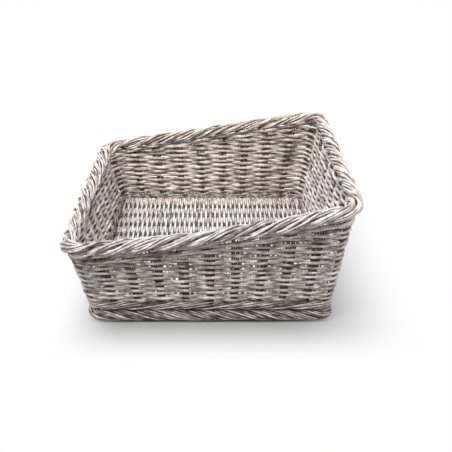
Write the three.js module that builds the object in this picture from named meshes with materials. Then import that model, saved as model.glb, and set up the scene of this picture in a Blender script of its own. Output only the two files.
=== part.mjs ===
// Bakery display basket: a near-square woven basket whose rim slopes from a low end to a high end.
// Millimetres, +Z up. The origin lies on the table under the middle of the rim border,
// +X points to the high end and -Y is the front.
import * as THREE from 'three';

// Overall size
const RIM_LENGTH = 400;
const RIM_WIDTH = 380;
const LOW_END_HEIGHT = 130;
const HIGH_END_HEIGHT = 190;
const FRONT_DIP = 8;
const FOOT_LENGTH = 348;
const FOOT_WIDTH = 356;
const FOOT_SHIFT = 1;

// Rolled borders, with the corner radii of their centre lines
const RIM_CORNER_RADIUS = 22;
const FOOT_CORNER_RADIUS = 14;
const RIM_BORDER_WIDTH = 24;
const RIM_BORDER_HEIGHT = 24;
const RIM_BUNDLES = 4;
const FOOT_BORDER_WIDTH = 18;
const FOOT_BORDER_HEIGHT = 18;
const FOOT_FLAT_WIDTH = 10;
const GROOVE_DEPTH = 1.4;

// Stakes: each is a flat bundle of thin rods
const STAKE_WIDTH = 10;
const STAKE_THICKNESS = 2.6;
const STAKE_BEVEL = 1.5;
const CROSS_STAKES = 9;
const FRONT_STAKES = 9;
const BACK_STAKES = 8;
const CROSS_STAKE_BEND = 2.5;

// Wall weavers: one modelled row is a pair of strands
const WEAVER_THICKNESS = 3.4;
const LEAST_ROW_PITCH = 7.8;
const ROW_GAP = 0.5;
const WALL_WEAVERS = 4;

// Wales: strands passed outside two stakes and inside one
const WALE_REPEAT = 3;
const UPPER_WALE_TURNS = 3;
const UPPER_WALE_PITCH = 4;
const LOWER_WALE_TURNS = 3;
const LOWER_WALE_PITCH = 6;

// Base weavers: flat pairs of strands that run front to back
const BASE_STRAND_THICKNESS = 2.2;
const LEAST_PASS_PITCH = 8;
const PASS_GAP = 0.6;
const BASE_WEAVERS = 4;

// Clearance between pieces that touch, and the tail of a strand past its last stake
const FIT_GAP = 0.3;
const STRAND_TAIL = 1;

// Colours of the washed strands
const STAKE_COLOR = 0x9c8b75;
const WALL_COLOR = 0xb3a592;
const WALE_COLOR = 0xbdb09e;
const BORDER_COLOR = 0xc8bdae;
const BASE_COLOR = 0xc2b6a6;
const ROUGHNESS = 0.75;

// The walls are numbered counter-clockwise from the front left corner: front, high end, back, low end.
// A place along them is counted in stakes, and whole numbers are stakes.
const FRONT = 0;
const INTERVALS = [FRONT_STAKES + 1, CROSS_STAKES + 1, BACK_STAKES + 1, CROSS_STAKES + 1];
const CORNERS = [0, 0, 0, 0];
for (let side = 1; side < INTERVALS.length; side += 1) {
  CORNERS[side] = CORNERS[side - 1] + INTERVALS[side - 1];
}
const [FRONT_LOW_CORNER, FRONT_HIGH_CORNER, BACK_HIGH_CORNER, BACK_LOW_CORNER] = CORNERS;
const STAKES_ROUND = BACK_LOW_CORNER + INTERVALS[3];

// A rounded rectangle in plan, by its half sizes, corner radius and shift along X
const rimPlan = {
  halfLength: (RIM_LENGTH - RIM_BORDER_WIDTH) / 2,
  halfWidth: (RIM_WIDTH - RIM_BORDER_WIDTH) / 2,
  radius: RIM_CORNER_RADIUS,
  shift: 0,
};
const footPlan = {
  halfLength: (FOOT_LENGTH - FOOT_BORDER_WIDTH) / 2,
  halfWidth: (FOOT_WIDTH - FOOT_BORDER_WIDTH) / 2,
  radius: FOOT_CORNER_RADIUS,
  shift: FOOT_SHIFT,
};

function straightHalf(plan, side) {
  const half = side % 2 === 0 ? plan.halfLength : plan.halfWidth;
  return half - plan.radius;
}

function sideLength(plan, side) {
  return 2 * straightHalf(plan, side) + plan.radius * Math.PI / 2;
}

function wrap(u) {
  return ((u % STAKES_ROUND) + STAKES_ROUND) % STAKES_ROUND;
}

function sideAt(u) {
  const place = wrap(u);
  let side = CORNERS.length - 1;
  while (CORNERS[side] > place) side -= 1;
  return { side, fraction: (place - CORNERS[side]) / INTERVALS[side] };
}

// Point and outward normal of a plan outline at u
function planPoint(plan, u) {
  const { side, fraction } = sideAt(u);
  const straight = straightHalf(plan, side);
  const reach = (fraction - 0.5) * sideLength(plan, side);
  const turn = Math.max(0, Math.abs(reach) - straight) / plan.radius;
  const sense = Math.sign(reach);
  const along = Math.abs(reach) <= straight ? reach : sense * (straight + plan.radius * Math.sin(turn));
  const half = side % 2 === 0 ? plan.halfWidth : plan.halfLength;
  const out = half - plan.radius * (1 - Math.cos(turn));
  const heading = side * Math.PI / 2;
  const center = new THREE.Vector2();
  return {
    point: new THREE.Vector2(along, -out).rotateAround(center, heading).add({ x: plan.shift, y: 0 }),
    normal: new THREE.Vector2(sense * Math.sin(turn), -Math.cos(turn)).rotateAround(center, heading),
  };
}

// Height of the rim border's centre line
function rimHeight(u) {
  const { side, fraction } = sideAt(u);
  const rise = (planPoint(rimPlan, u).point.x / rimPlan.halfLength + 1) / 2;
  const dip = side === FRONT ? FRONT_DIP * Math.sin(Math.PI * fraction) : 0;
  return THREE.MathUtils.lerp(LOW_END_HEIGHT, HIGH_END_HEIGHT, rise) - RIM_BORDER_HEIGHT / 2 - dip;
}

// The wall's middle surface is ruled from the foot border to the rim border
const FOOT_CENTER = FOOT_BORDER_HEIGHT / 2;

function wallPoint(u, z, offset = 0) {
  const foot = planPoint(footPlan, u);
  const rim = planPoint(rimPlan, u);
  const share = (z - FOOT_CENTER) / (rimHeight(u) - FOOT_CENTER);
  const normal = foot.normal.clone().lerp(rim.normal, share).normalize();
  const point = foot.point.clone().lerp(rim.point, share).addScaledVector(normal, offset);
  return { point: new THREE.Vector3(point.x, point.y, z), normal };
}

// Widths that the weave has to clear
const STAKE_PITCH = Math.min(...INTERVALS.map((count, side) => sideLength(footPlan, side) / count));
const WIDEST_PITCH = Math.max(...INTERVALS.map((count, side) => sideLength(rimPlan, side) / count));
const STAKE_FLAT = STAKE_WIDTH / 2 - STAKE_BEVEL;
const LEAST_RADIUS = Math.min(FOOT_CORNER_RADIUS, RIM_CORNER_RADIUS);
const CORNER_EASE = FIT_GAP + STAKE_FLAT * WIDEST_PITCH / (4 * LEAST_RADIUS);
const INNER_EASE = CORNER_EASE * STAKE_FLAT / (STAKE_PITCH - STAKE_FLAT);
const TAIL = (STAKE_WIDTH / 2 + STRAND_TAIL) / STAKE_PITCH;

// How far a strand's middle stands off a stake's middle as it passes over it
function standOff(strandThickness) {
  const touching = (STAKE_THICKNESS + strandThickness) / 2 + FIT_GAP;
  return touching / (1 - 2 * STAKE_FLAT / STAKE_PITCH);
}
const WALL_OFFSET = standOff(WEAVER_THICKNESS);
const BASE_OFFSET = standOff(BASE_STRAND_THICKNESS);
const WALL_HALF = WALL_OFFSET + WEAVER_THICKNESS / 2;
const BASE_HALF = BASE_OFFSET + BASE_STRAND_THICKNESS / 2;

// Levels, from the foot up
const BODY_BOTTOM = FOOT_BORDER_HEIGHT + FIT_GAP;
const BASE_LEVEL = BODY_BOTTOM + BASE_HALF;
const LOWER_WALE_HEIGHT = LOWER_WALE_PITCH - FIT_GAP;
const INNER_WALE_BOTTOM = Math.max(
  BASE_LEVEL + Math.max(CROSS_STAKE_BEND, STAKE_THICKNESS / 2) + FIT_GAP,
  BODY_BOTTOM + LOWER_WALE_PITCH,
);
const ROWS_BOTTOM = INNER_WALE_BOTTOM + (LOWER_WALE_TURNS - 1) * LOWER_WALE_PITCH;
const UPPER_WALE_HEIGHT = UPPER_WALE_PITCH - FIT_GAP;

function upperWaleBottom(u) {
  return rimHeight(u) - RIM_BORDER_HEIGHT / 2 - UPPER_WALE_TURNS * UPPER_WALE_PITCH;
}
const ROWS_TOP = upperWaleBottom((BACK_LOW_CORNER + STAKES_ROUND) / 2) - FIT_GAP;
const FULL_ROWS = Math.floor((ROWS_TOP - ROWS_BOTTOM) / LEAST_ROW_PITCH);
const ROW_PITCH = (ROWS_TOP - ROWS_BOTTOM) / FULL_ROWS;
const ROW_HEIGHT = ROW_PITCH - ROW_GAP;

// Sideways vector of a mitred joint in a flat line of points
function mitre(points, index, halfWidth) {
  const sides = [];
  for (const [from, to] of [[index - 1, index], [index, index + 1]]) {
    if (from < 0 || to >= points.length) continue;
    const step = points[to].clone().sub(points[from]).normalize();
    sides.push(new THREE.Vector2(step.y, -step.x));
  }
  if (sides.length === 1) return sides[0].multiplyScalar(halfWidth);
  const scale = halfWidth / (1 + sides[0].dot(sides[1]));
  return sides[0].add(sides[1]).multiplyScalar(scale);
}

function signedVolume(positions, triangles) {
  let volume = 0;
  for (const [a, b, c] of triangles) {
    volume += positions[a].dot(positions[b].clone().cross(positions[c])) / 6;
  }
  return volume;
}

// Closed solid through a row of sections, either a ring or capped at both ends
function loft(sections, ring = false, rising = true) {
  const count = sections[0].length;
  const positions = sections.flat();
  const triangles = [];
  const spans = ring ? sections.length : sections.length - 1;
  for (let span = 0; span < spans; span += 1) {
    const here = span * count;
    const next = ((span + 1) % sections.length) * count;
    for (let k = 0; k < count; k += 1) {
      const after = (k + 1) % count;
      const [a, b, c, d] = [here + k, here + after, next + after, next + k];
      if (rising) triangles.push([a, b, c], [a, c, d]);
      else triangles.push([a, b, d], [b, c, d]);
    }
  }
  if (!ring) {
    const last = positions.length - count;
    for (let k = 1; k < count - 1; k += 1) {
      triangles.push([0, k + 1, k], [last, last + k, last + k + 1]);
    }
  }
  if (signedVolume(positions, triangles) < 0) triangles.forEach((triangle) => triangle.reverse());
  const geometry = new THREE.BufferGeometry().setFromPoints(positions);
  geometry.setIndex(triangles.flat());
  geometry.computeVertexNormals();
  return geometry;
}

// Strand of rectangular section along stops, each with the points of its lower and upper edges
function strand(stops, width) {
  const edges = ['low', 'high'].map((edge) => {
    const flat = stops.map((stop) => new THREE.Vector2(stop[edge].x, stop[edge].y));
    return flat.map((point, index) => mitre(flat, index, width / 2));
  });
  const sections = stops.map((stop, index) => {
    const [low, high] = edges.map((edge) => new THREE.Vector3(edge[index].x, edge[index].y, 0));
    return [
      stop.low.clone().sub(low),
      stop.low.clone().add(low),
      stop.high.clone().add(high),
      stop.high.clone().sub(high),
    ];
  });
  return loft(sections);
}

function wallStop(u, bottom, height, offset) {
  return {
    low: wallPoint(u, bottom, offset).point,
    high: wallPoint(u, bottom + height, offset).point,
  };
}

// Number of stakes from u to the nearest corner
function cornerDistance(u) {
  return Math.min(...CORNERS.map((corner) => Math.min(wrap(u - corner), wrap(corner - u))));
}

// Offset of a strand at a stake: outside is +1, inside is -1. Strands bulge outward at the corners,
// and lie a little further in on the stakes beside such a bulge.
function stakeOffset(u, side) {
  if (side > 0) return WALL_OFFSET + (cornerDistance(u) <= 1 ? CORNER_EASE : 0);
  return -WALL_OFFSET - (cornerDistance(u) <= 2 ? INNER_EASE : 0);
}

// Stops from stake to stake, with one more in the middle of each interval beside a corner
function passStops(from, to, sideOf, bottomOf, height) {
  const step = Math.sign(to - from);
  const stops = [];
  for (let u = from; u !== to + step; u += step) {
    const offset = stakeOffset(u, sideOf(u));
    stops.push(wallStop(u, bottomOf(u), height, offset));
    const nearCorner = CORNERS.includes(wrap(u)) || CORNERS.includes(wrap(u + step));
    if (u !== to && nearCorner) {
      const between = (offset + stakeOffset(u + step, sideOf(u + step))) / 2;
      stops.push(wallStop(u + step / 2, bottomOf(u + step / 2), height, between));
    }
  }
  return stops;
}

// Strand that winds round the basket and climbs a row each time it passes the low end's back corner
const WINDING_START = BACK_LOW_CORNER + 1;
const WINDING_END = WINDING_START + STAKES_ROUND - 1;

function winding(firstTurn, turns, sideOf, bottomOf, height) {
  const stops = [];
  for (let turn = firstTurn; turn < firstTurn + turns; turn += 1) {
    const side = (u) => sideOf(u, turn);
    const bottom = (u) => bottomOf(u, turn);
    const tailOffset = (u) => stakeOffset(u, side(u)) * (1 - 2 * TAIL);
    const before = WINDING_START - TAIL;
    const after = WINDING_END + TAIL;
    stops.push(wallStop(before, bottom(before), height, tailOffset(WINDING_START)));
    stops.push(...passStops(WINDING_START, WINDING_END, side, bottom, height));
    stops.push(wallStop(after, bottom(after), height, tailOffset(WINDING_END)));
  }
  return strand(stops, WEAVER_THICKNESS);
}

const basket = new THREE.Group();
basket.name = 'bakery_display_basket';

function addPart(name, geometry, color) {
  const material = new THREE.MeshStandardMaterial({ color, roughness: ROUGHNESS, metalness: 0 });
  const mesh = new THREE.Mesh(geometry, material);
  mesh.name = name;
  basket.add(mesh);
}

// Bevelled section of a stake, as widthways and thickness offsets
const STAKE_SECTION = [
  [-STAKE_WIDTH / 2, 0],
  [-STAKE_FLAT, -STAKE_THICKNESS / 2],
  [STAKE_FLAT, -STAKE_THICKNESS / 2],
  [STAKE_WIDTH / 2, 0],
  [STAKE_FLAT, STAKE_THICKNESS / 2],
  [-STAKE_FLAT, STAKE_THICKNESS / 2],
];

function stakeTop(u) {
  const reach = STAKE_WIDTH / 2 / STAKE_PITCH;
  const seat = Math.min(rimHeight(u - reach), rimHeight(u), rimHeight(u + reach));
  return seat - RIM_BORDER_HEIGHT / 2 - FIT_GAP;
}

// Upright stake in the front wall, the back wall or a corner, from the foot border to the rim border
function uprightStake(u) {
  const sections = [BODY_BOTTOM, stakeTop(u)].map((z) => {
    const { point, normal } = wallPoint(u, z);
    const out = new THREE.Vector3(normal.x, normal.y, 0);
    const along = new THREE.Vector3(-normal.y, normal.x, 0);
    return STAKE_SECTION.map(([w, t]) => (
      point.clone().addScaledVector(along, w).addScaledVector(out, t)
    ));
  });
  return loft(sections);
}

// Cross stake: up the low end, under the base weave and up the high end in one piece
function crossStake(number) {
  const lowEnd = STAKES_ROUND - number;
  const highEnd = FRONT_HIGH_CORNER + number;
  const corners = [
    wallPoint(lowEnd, stakeTop(lowEnd)).point,
    wallPoint(lowEnd, BASE_LEVEL).point,
    wallPoint(highEnd, BASE_LEVEL).point,
    wallPoint(highEnd, stakeTop(highEnd)).point,
  ];
  const line = [corners[0]];
  for (let k = 1; k < corners.length - 1; k += 1) {
    const before = corners[k - 1].clone().sub(corners[k]).setLength(CROSS_STAKE_BEND).add(corners[k]);
    const after = corners[k + 1].clone().sub(corners[k]).setLength(CROSS_STAKE_BEND).add(corners[k]);
    line.push(...new THREE.QuadraticBezierCurve3(before, corners[k], after).getPoints(2));
  }
  line.push(corners[3]);
  const flat = line.map((point) => new THREE.Vector2(point.x, point.z));
  const sections = line.map((point, index) => {
    const side = mitre(flat, index, 1);
    return STAKE_SECTION.map(([w, t]) => (
      new THREE.Vector3(point.x + side.x * t, point.y + w, point.z + side.y * t)
    ));
  });
  return loft(sections);
}

for (let number = 1; number <= CROSS_STAKES; number += 1) {
  addPart(`cross_stake_${number}`, crossStake(number), STAKE_COLOR);
}
for (let number = 1; number <= FRONT_STAKES; number += 1) {
  addPart(`front_stake_${number}`, uprightStake(FRONT_LOW_CORNER + number), STAKE_COLOR);
}
for (let number = 1; number <= BACK_STAKES; number += 1) {
  addPart(`back_stake_${number}`, uprightStake(BACK_LOW_CORNER - number), STAKE_COLOR);
}
addPart('corner_stake_front_low', uprightStake(FRONT_LOW_CORNER), STAKE_COLOR);
addPart('corner_stake_front_high', uprightStake(FRONT_HIGH_CORNER), STAKE_COLOR);
addPart('corner_stake_back_high', uprightStake(BACK_HIGH_CORNER), STAKE_COLOR);
addPart('corner_stake_back_low', uprightStake(BACK_LOW_CORNER), STAKE_COLOR);

// Plain weave: a strand passes outside and inside the stakes in turn, and the next row the other way
function weaveSide(u, row) {
  return (u + row) % 2 === 0 ? 1 : -1;
}

function rowBottom(row) {
  return ROWS_BOTTOM + row * ROW_PITCH;
}

for (let weaver = 0; weaver < WALL_WEAVERS; weaver += 1) {
  const first = Math.ceil(weaver * FULL_ROWS / WALL_WEAVERS);
  const turns = Math.ceil((weaver + 1) * FULL_ROWS / WALL_WEAVERS) - first;
  const bottom = (u, turn) => rowBottom(turn);
  addPart(`wall_weaver_${weaver + 1}`, winding(first, turns, weaveSide, bottom, ROW_HEIGHT), WALL_COLOR);
}

// Packing: short rows that fill the wall up to the sloping upper wale, woven back and forth
// round the high end and turned round a stake at the end of each row
const TURN_REACH = (STAKE_WIDTH / 2 + FIT_GAP + WEAVER_THICKNESS / 2 + WALL_OFFSET / 2) / STAKE_PITCH;
const TURN_START = STAKE_WIDTH / 2 / STAKE_PITCH;
const TURN_CLEARANCE = TURN_REACH + WEAVER_THICKNESS / STAKE_PITCH;

function rowFits(u, row) {
  return upperWaleBottom(u) >= rowBottom(row) + ROW_HEIGHT + FIT_GAP;
}

// The stake that a row turns round at its front end or its back end, at most one past the corner
function frontTurn(row) {
  let u = FRONT_LOW_CORNER + 1;
  while (u <= FRONT_HIGH_CORNER && !rowFits(u - TURN_CLEARANCE, row)) u += 1;
  return u;
}

function backTurn(row) {
  let u = BACK_LOW_CORNER - 1;
  while (u >= BACK_HIGH_CORNER && !rowFits(u + TURN_CLEARANCE, row)) u -= 1;
  return u;
}

function packing() {
  let lastRow = FULL_ROWS;
  while (rowFits(frontTurn(lastRow + 1) - TURN_CLEARANCE, lastRow + 1)) lastRow += 1;
  const stops = [];
  for (let row = FULL_ROWS; row <= lastRow; row += 1) {
    const toBack = (row - FULL_ROWS) % 2 === 0;
    const upper = Math.min(row + 1, lastRow);
    const from = toBack ? frontTurn(row) : backTurn(row);
    const to = toBack ? backTurn(upper) : frontTurn(upper);
    const step = Math.sign(to - from);
    const side = (u) => weaveSide(u + STAKES_ROUND, row);
    const bottom = rowBottom(row);
    const start = stakeOffset(from, side(from));
    const end = stakeOffset(to, side(to));
    stops.push(wallStop(from - step * TURN_START, bottom, ROW_HEIGHT, start));
    stops.push(...passStops(from, to, side, () => bottom, ROW_HEIGHT));
    stops.push(wallStop(to + step * TURN_START, bottom, ROW_HEIGHT, end));
    if (row < lastRow) {
      stops.push(wallStop(to + step * TURN_REACH, bottom + ROW_PITCH / 2, ROW_HEIGHT, 0));
    }
  }
  return strand(stops, WEAVER_THICKNESS);
}
addPart('packing_weaver', packing(), WALL_COLOR);

// Wales: the lower one starts with a turn outside every stake, over the bends of the cross stakes
function waleSide(u, turn) {
  return (u + turn) % WALE_REPEAT === 0 ? -1 : 1;
}

function lowerWaleSide(u, turn) {
  return turn === 0 ? 1 : waleSide(u, turn);
}

function lowerWaleBottom(u, turn) {
  return turn === 0 ? BODY_BOTTOM : INNER_WALE_BOTTOM + (turn - 1) * LOWER_WALE_PITCH;
}

function upperWaleTurnBottom(u, turn) {
  return upperWaleBottom(u) + turn * UPPER_WALE_PITCH;
}
addPart('lower_wale',
  winding(0, LOWER_WALE_TURNS, lowerWaleSide, lowerWaleBottom, LOWER_WALE_HEIGHT), WALE_COLOR);
addPart('upper_wale',
  winding(0, UPPER_WALE_TURNS, waleSide, upperWaleTurnBottom, UPPER_WALE_HEIGHT), WALE_COLOR);

// Base weavers, laid from end to end in passes that turn back at the front and back walls
function endLimit(u) {
  const { point, normal } = wallPoint(u, BODY_BOTTOM, -WALL_HALF - FIT_GAP);
  return Math.abs(normal.x) > Math.abs(normal.y) ? point.x : Math.abs(point.y);
}
const BASE_LOW_X = endLimit((BACK_LOW_CORNER + STAKES_ROUND) / 2);
const BASE_HIGH_X = endLimit((FRONT_HIGH_CORNER + BACK_HIGH_CORNER) / 2);
const BASE_HALF_Y = endLimit(FRONT_HIGH_CORNER / 2);
const BASE_CORNER = FOOT_CORNER_RADIUS - WALL_HALF - FIT_GAP;
const BASE_PASSES = Math.floor((BASE_HIGH_X - BASE_LOW_X) / LEAST_PASS_PITCH);
const PASS_PITCH = (BASE_HIGH_X - BASE_LOW_X) / BASE_PASSES;
const PASS_WIDTH = PASS_PITCH - PASS_GAP;

function passX(pass) {
  return BASE_LOW_X + (pass + 0.5) * PASS_PITCH;
}

// A cross stake's Y where a pass crosses it
function crossingY(number, x) {
  const low = wallPoint(STAKES_ROUND - number, BASE_LEVEL).point;
  const high = wallPoint(FRONT_HIGH_CORNER + number, BASE_LEVEL).point;
  return THREE.MathUtils.mapLinear(x, low.x, high.x, low.y, high.y);
}

function crosses(y, reach) {
  return Math.abs(y) + STAKE_PITCH / 2 <= reach;
}

// Half length of a pass, cut back where the base's corners are round, and to the next stake
// where it would stop on top of one
function passReach(pass) {
  const x = passX(pass);
  const inset = Math.min(x - BASE_LOW_X, BASE_HIGH_X - x) - PASS_WIDTH / 2;
  const across = Math.max(0, BASE_CORNER - inset);
  const cut = BASE_CORNER - Math.sqrt(BASE_CORNER ** 2 - across ** 2);
  const reach = BASE_HALF_Y - cut - PASS_WIDTH / 2;
  const outer = Math.abs(crossingY(1, x));
  const inside = outer - (STAKE_WIDTH + PASS_WIDTH) / 2 - FIT_GAP;
  return crosses(outer, reach) ? reach : Math.min(reach, inside);
}

function baseStop(x, y, z) {
  const half = BASE_STRAND_THICKNESS / 2;
  return { low: new THREE.Vector3(x, y, z - half), high: new THREE.Vector3(x, y, z + half) };
}

function baseWeaver(first, last) {
  const stops = [];
  for (let pass = first; pass <= last; pass += 1) {
    const x = passX(pass);
    const heading = pass % 2 === 0 ? 1 : -1;
    const startReach = Math.min(passReach(pass), pass > first ? passReach(pass - 1) : Infinity);
    const endReach = Math.min(passReach(pass), pass < last ? passReach(pass + 1) : Infinity);
    stops.push(baseStop(x, -heading * startReach, BASE_LEVEL));
    for (let k = 1; k <= CROSS_STAKES; k += 1) {
      const number = heading > 0 ? k : CROSS_STAKES + 1 - k;
      const y = crossingY(number, x);
      const lift = (number + pass) % 2 === 0 ? BASE_OFFSET : -BASE_OFFSET;
      const reach = y * heading > 0 ? endReach : startReach;
      if (crosses(y, reach)) stops.push(baseStop(x, y, BASE_LEVEL + lift));
    }
    stops.push(baseStop(x, heading * endReach, BASE_LEVEL));
  }
  return strand(stops, PASS_WIDTH);
}

const PASSES_PER_WEAVER = Math.ceil(BASE_PASSES / BASE_WEAVERS);
for (let weaver = 0; weaver < BASE_WEAVERS; weaver += 1) {
  const first = weaver * PASSES_PER_WEAVER;
  const last = Math.min(first + PASSES_PER_WEAVER, BASE_PASSES) - 1;
  addPart(`base_weaver_${weaver + 1}`, baseWeaver(first, last), BASE_COLOR);
}

// Rolled borders: bundles of stake ends twist round the ring, one bundle for each stake.
// There are two steps for each stake, and those beside a corner are cut finer to round it.
const CORNER_CUTS = 3;

function borderRing(plan, heightOf, sectionAt, rising) {
  const sections = [];
  for (let step = 0; step < 2 * STAKES_ROUND; step += 1) {
    const cuts = cornerDistance(step / 2 + 0.25) < 0.5 ? CORNER_CUTS : 1;
    const after = sectionAt(step + 1);
    for (let cut = 0; cut < cuts; cut += 1) {
      const u = (step + cut / cuts) / 2;
      const { point, normal } = planPoint(plan, u);
      sections.push(sectionAt(step).map(([outBefore, upBefore], k) => {
        const out = THREE.MathUtils.lerp(outBefore, after[k][0], cut / cuts);
        const up = THREE.MathUtils.lerp(upBefore, after[k][1], cut / cuts);
        return new THREE.Vector3(point.x + normal.x * out, point.y + normal.y * out, heightOf(u) + up);
      }));
    }
  }
  return loft(sections, true, rising);
}

function groove(step, k) {
  return (step + k) % 2 === 0 ? 0 : GROOVE_DEPTH;
}

function rimSection(step) {
  const points = [];
  for (let k = 0; k < 2 * RIM_BUNDLES; k += 1) {
    const angle = k * Math.PI / RIM_BUNDLES;
    const depth = groove(step, k);
    points.push([
      (RIM_BORDER_WIDTH / 2 - depth) * Math.cos(angle),
      (RIM_BORDER_HEIGHT / 2 - depth) * Math.sin(angle),
    ]);
  }
  return points;
}

// The foot border stands on a flat underside
const FOOT_ARCH_STEPS = 4;

function footSection(step) {
  const points = [[-FOOT_FLAT_WIDTH / 2, 0], [FOOT_FLAT_WIDTH / 2, 0]];
  for (let k = 0; k <= FOOT_ARCH_STEPS; k += 1) {
    const angle = k * Math.PI / FOOT_ARCH_STEPS;
    const depth = groove(step, k);
    points.push([
      (FOOT_BORDER_WIDTH / 2 - depth) * Math.cos(angle),
      FOOT_CENTER + (FOOT_BORDER_HEIGHT / 2 - depth) * Math.sin(angle),
    ]);
  }
  return points;
}
addPart('rim_border', borderRing(rimPlan, rimHeight, rimSection, true), BORDER_COLOR);
addPart('foot_border', borderRing(footPlan, () => 0, footSection, false), BORDER_COLOR);

export default basket;
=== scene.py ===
"""Bakery display basket: rods and strands of washed rattan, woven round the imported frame."""
import math
import random
from collections import namedtuple

import bmesh
import bpy
from mathutils import Matrix, Vector, noise


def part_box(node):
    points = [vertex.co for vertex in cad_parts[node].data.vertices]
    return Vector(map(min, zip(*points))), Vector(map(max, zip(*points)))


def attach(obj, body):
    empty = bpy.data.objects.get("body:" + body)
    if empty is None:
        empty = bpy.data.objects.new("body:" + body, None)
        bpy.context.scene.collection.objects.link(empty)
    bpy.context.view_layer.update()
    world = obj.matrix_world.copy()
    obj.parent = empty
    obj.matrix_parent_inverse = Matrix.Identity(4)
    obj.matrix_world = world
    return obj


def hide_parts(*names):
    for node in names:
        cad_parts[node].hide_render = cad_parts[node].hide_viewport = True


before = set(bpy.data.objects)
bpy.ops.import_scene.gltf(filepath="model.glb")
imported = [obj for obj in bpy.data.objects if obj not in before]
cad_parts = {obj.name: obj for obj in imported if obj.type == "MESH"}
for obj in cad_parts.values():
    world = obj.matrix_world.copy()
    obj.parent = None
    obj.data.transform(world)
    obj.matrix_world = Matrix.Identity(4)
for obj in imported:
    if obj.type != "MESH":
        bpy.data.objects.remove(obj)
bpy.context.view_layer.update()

bl_info = {
    "name": "Bakery display basket",
    "version": (1, 0, 0),
    "blender": (4, 5, 0),
    "location": "View3D > Sidebar > Basket",
    "description": "Weaves a washed rattan display basket round its packed frame",
    "category": "Object",
}


def linear(code):
    """Linear colour of an sRGB hex value."""
    shares = [int(code[place:place + 2], 16) / 255 for place in (1, 3, 5)]
    return tuple(s / 12.92 if s <= 0.04045 else ((s + 0.055) / 1.055) ** 2.4 for s in shares)


def length(name, description, default):
    """A length that a user may change, in metres."""
    return bpy.props.FloatProperty(
        name=name, description=description, default=default, min=0.0, precision=4, unit="LENGTH"
    )


def colour(name, description, code):
    """A colour that a user may change, given as an sRGB hex value."""
    return bpy.props.FloatVectorProperty(
        name=name, description=description, default=linear(code), size=3, min=0.0, max=1.0, subtype="COLOR"
    )


class BasketSizes(bpy.types.PropertyGroup):
    """Thicknesses and spacings of the rods and strands."""

    front_row: length("Front row", "Height of a row of the weave on the front wall", 0.00415)
    back_row: length("Back row", "Height of a row of the weave on the back wall", 0.00435)
    wall_strand: length("Wall strand", "Thickness of a wall strand as it passes between stakes", 0.0037)
    wale_rod: length("Wale rod", "Thickness of a rod of the lower wale", 0.0023)
    wale_rise: length("Wale rise", "Height that a stroke of the lower wale climbs", 0.0130)
    stake_rod: length("Stake rod", "Thickness of a rod of a stake", 0.0026)
    base_strand: length("Base strand", "Thickness of a strand of the base", 0.0038)
    base_pass: length("Base pass", "Distance between the strands of the base", 0.0040)
    rim_rod: length("Rim rod", "Thickness of a rod of the rim border", 0.0028)
    foot_rod: length("Foot rod", "Thickness of a rod of the foot border", 0.0023)


class BasketColours(bpy.types.PropertyGroup):
    """Colours of the rods and of the stage."""

    # Darkest colour: rods that took no wash, and also the painted shade of the stakes and of the border
    # cores.
    bare_and_shade: colour("Bare rod", "Rod that took no wash", "#382f29")
    thin_wash: colour("Thin wash", "Rod that shows through its wash", "#968a84")
    wash: colour("Wash", "Rod with an even wash", "#c0b6b1")
    pale_wash: colour("Pale wash", "Rod with a thick wash", "#e3dedb")
    # Stake colour: the stakes' own brown, drawn darker as painted shade for the gaps of the weave where
    # they show.
    stake: colour("Stake", "Unwashed stakes inside the weave", "#423831")
    # The floor's grey shows only within the shadow lines near the basket, where it deepens the shadow:
    # painted shadow.
    floor: colour("Floor", "Floor of the stage", "#9f9f9f")


def count_nodes(prefix):
    """Number of the frame's nodes whose names start with prefix."""
    return sum(name.startswith(prefix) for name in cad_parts)


FRONT_STAKES = count_nodes("front_stake_")
CROSS_STAKES = count_nodes("cross_stake_")
BACK_STAKES = count_nodes("back_stake_")
WALL_WEAVERS = count_nodes("wall_weaver_")
BASE_WEAVERS = count_nodes("base_weaver_")

# Places on the walls are counted in stakes, counter-clockwise from the front low corner
FRONT, HIGH_END, BACK, LOW_END = range(4)
INTERVALS = (FRONT_STAKES + 1, CROSS_STAKES + 1, BACK_STAKES + 1, CROSS_STAKES + 1)
CORNERS = tuple(sum(INTERVALS[:side]) for side in range(4))
FRONT_LOW, FRONT_HIGH, BACK_HIGH, BACK_LOW = CORNERS
STAKES_ROUND = sum(INTERVALS)

# Borders of the frame, whose centre lines are rounded rectangles
RIM_THICKNESS = 0.024
RIM_CORNER = 0.022
FOOT_CORNER = 0.014
FRONT_DIP = 0.008
RIM_LOW, RIM_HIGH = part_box("rim_border")
FOOT_LOW, FOOT_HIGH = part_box("foot_border")
FOOT_THICKNESS = FOOT_HIGH.z - FOOT_LOW.z
FOOT_CENTER = FOOT_LOW.z + FOOT_THICKNESS / 2

Plan = namedtuple("Plan", "half_length half_width radius shift")


def border_plan(low, high, thickness, radius):
    """Plan of a border's centre line, from its box."""
    half_length = (high.x - low.x - thickness) / 2
    half_width = (high.y - low.y - thickness) / 2
    return Plan(half_length, half_width, radius, (low.x + high.x) / 2)


RIM_PLAN = border_plan(RIM_LOW, RIM_HIGH, RIM_THICKNESS, RIM_CORNER)
FOOT_PLAN = border_plan(FOOT_LOW, FOOT_HIGH, FOOT_THICKNESS, FOOT_CORNER)


def mix(start, end, share):
    """Value between start and end."""
    return start + (end - start) * share


def ease(share):
    """Share from 0 to 1 that starts and stops gently."""
    share = min(max(share, 0.0), 1.0)
    return share * share * (3 - 2 * share)


def wall_at(u):
    """Wall that holds place u, and the share of that wall that lies before it."""
    place = u % STAKES_ROUND
    side = max(index for index in range(4) if CORNERS[index] <= place)
    return side, (place - CORNERS[side]) / INTERVALS[side]


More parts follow.
